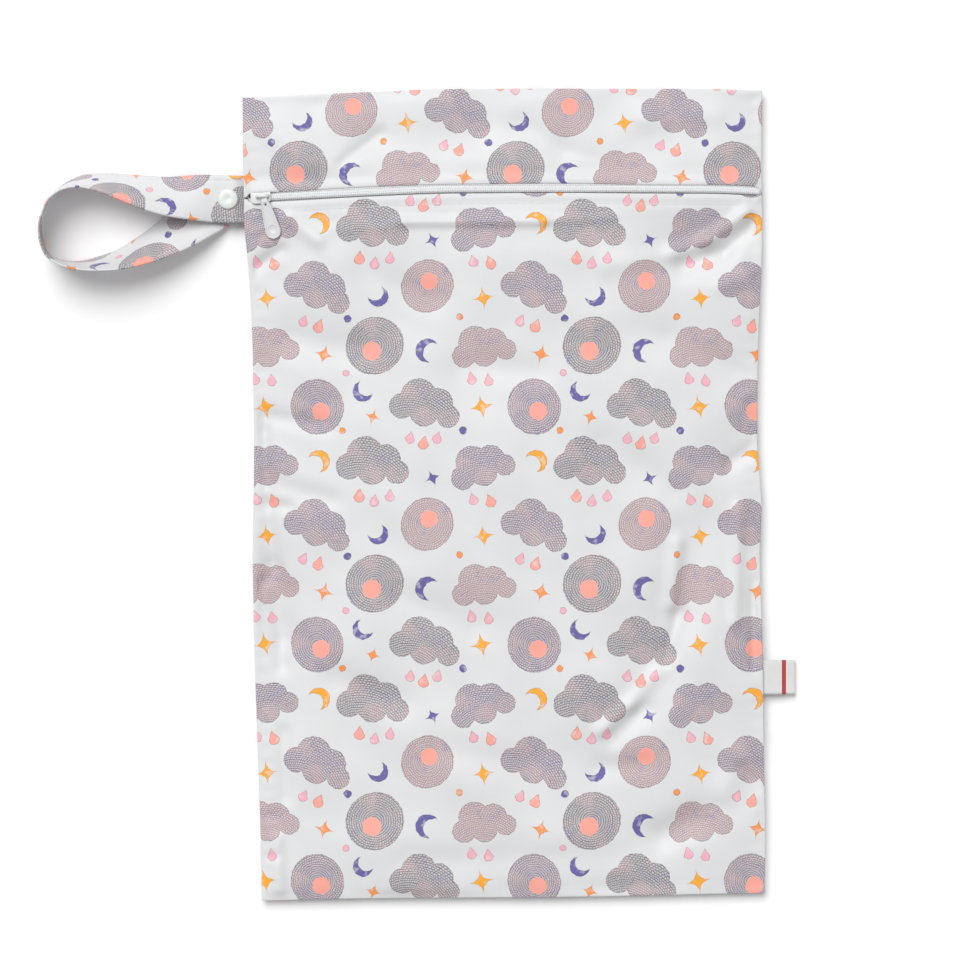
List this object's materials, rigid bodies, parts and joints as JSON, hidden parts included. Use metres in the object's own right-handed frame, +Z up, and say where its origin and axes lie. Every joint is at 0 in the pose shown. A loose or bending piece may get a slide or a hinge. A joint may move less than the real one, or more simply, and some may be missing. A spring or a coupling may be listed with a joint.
{
  "type": "cloth diaper wet bag",
  "caption": "Flat zippered cloth wet bag with a printed face, a pull-tab zip and a snap-closed strap loop at its side seam.",
  "frame": {"origin": "on the floor under the middle of the bag, in its flat back face", "axes": "+X towards the tag's side seam and away from the strap, +Y towards the zipped top, +Z up through the front"},
  "size_m": [0.4461, 0.4786, 0.0288],
  "materials": {
    "printed_cloth": "laminated knit with a soft sheen, printed with clouds, drops and small shapes in grey-mauve, pink, orange and indigo",
    "zip_tape": "white woven zip tape",
    "zip_coil": "white nylon coil",
    "slider_enamel": "light grey enamel on cast metal",
    "snap_resin": "translucent white resin snap",
    "tag_tape": "white satin tape"
  },
  "bodies": {
    "root": {"back_panel": "printed_cloth", "back_seam_left": "printed_cloth", "back_seam_right": "printed_cloth", "back_seam_bottom": "printed_cloth", "back_seam_top": "printed_cloth", "front_panel": "printed_cloth", "top_band": "printed_cloth", "tape_lower": "zip_tape", "tape_upper": "zip_tape", "zip_chain": "zip_coil", "zip_slider": "slider_enamel", "strap_loop": "printed_cloth", "snap_cap_under": "snap_resin", "snap_stud": "snap_resin", "snap_socket": "snap_resin", "snap_cap_top": "snap_resin", "side_tag": "tag_tape"},
    "pull": {"pull_tab": "slider_enamel"}
  },
  "joints": [
    {"name": "pull_lift", "type": "hinge", "parent": "root", "child": "pull", "pos_m": [-0.14306, 0.1755, 0.01495], "axis": [-0.9624, -0.2539, -0.0964], "range_deg": [0, 180]}
  ]
}
